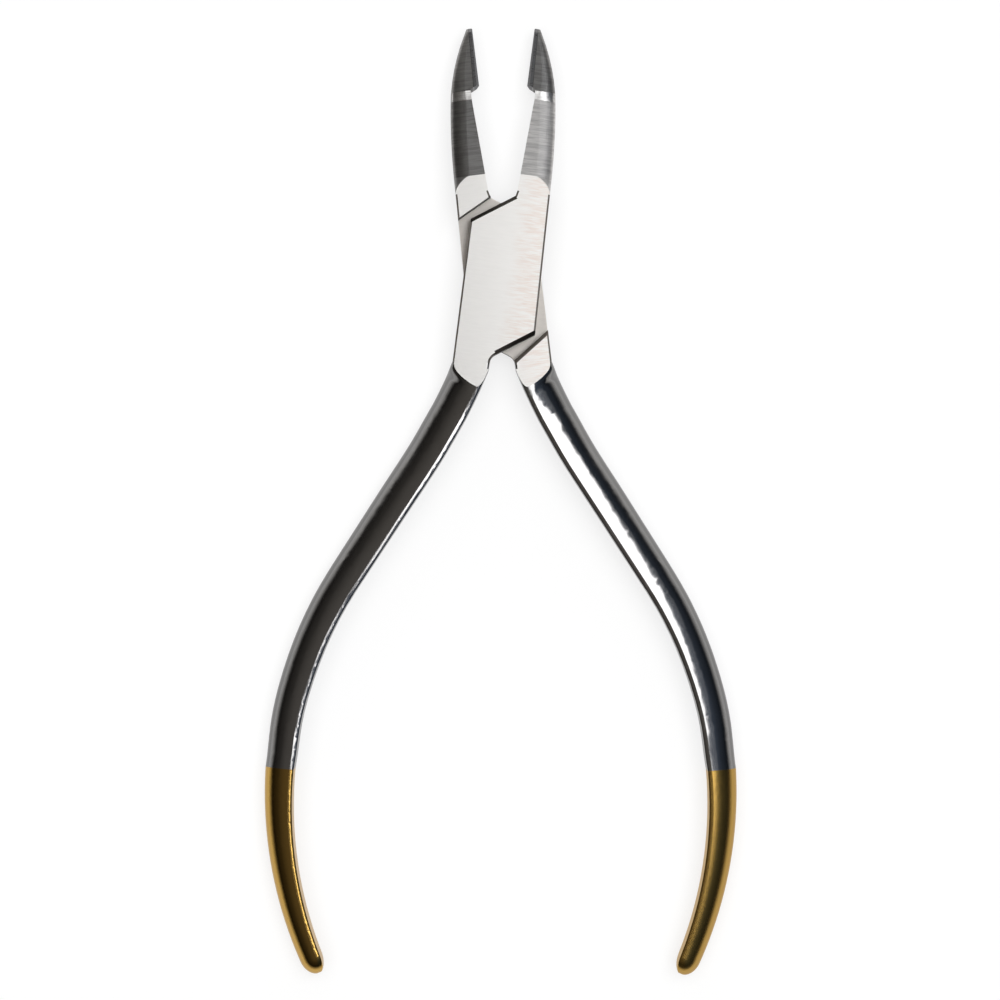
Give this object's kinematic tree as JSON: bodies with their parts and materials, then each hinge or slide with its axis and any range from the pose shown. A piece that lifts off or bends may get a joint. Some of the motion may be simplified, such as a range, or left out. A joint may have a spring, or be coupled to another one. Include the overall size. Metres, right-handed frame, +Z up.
{
  "type": "orthodontic pliers",
  "caption": "Slim lap-joint orthodontic cutting pliers with stepped hard-metal tips, a slotted pivot screw and bowed polished handles with gold plated ends.",
  "frame": {"origin": "on the pivot axis, in the flat underside of the joint that the pliers lie on", "axes": "+Y from the pivot towards the jaw tips, +Z up out of the front face along the pivot axis, +X to the side of the front half's jaw"},
  "size_m": [0.0651, 0.1306, 0.0066],
  "materials": {
    "forged_steel": "mirror polished handles, fine cross-brushed joint and jaws",
    "screw_steel": "turned steel with a slotted head",
    "hard_metal": "finely ground dark grey tungsten carbide",
    "silver_solder": "thin pale solder line",
    "gold_plating": "polished gold plating"
  },
  "bodies": {
    "front": {"front_half": "forged_steel", "pivot_screw": "screw_steel", "front_cutting_insert": "hard_metal", "front_braze_layer": "silver_solder", "front_handle_plating": "gold_plating"},
    "rear": {"rear_half": "forged_steel", "rear_cutting_insert": "hard_metal", "rear_braze_layer": "silver_solder", "rear_handle_plating": "gold_plating"}
  },
  "joints": [
    {"name": "jaw_pivot", "type": "hinge", "parent": "front", "child": "rear", "pos_m": [0, 0, 0], "axis": [0, 0, 1], "range_deg": [-14.3, 90]}
  ]
}
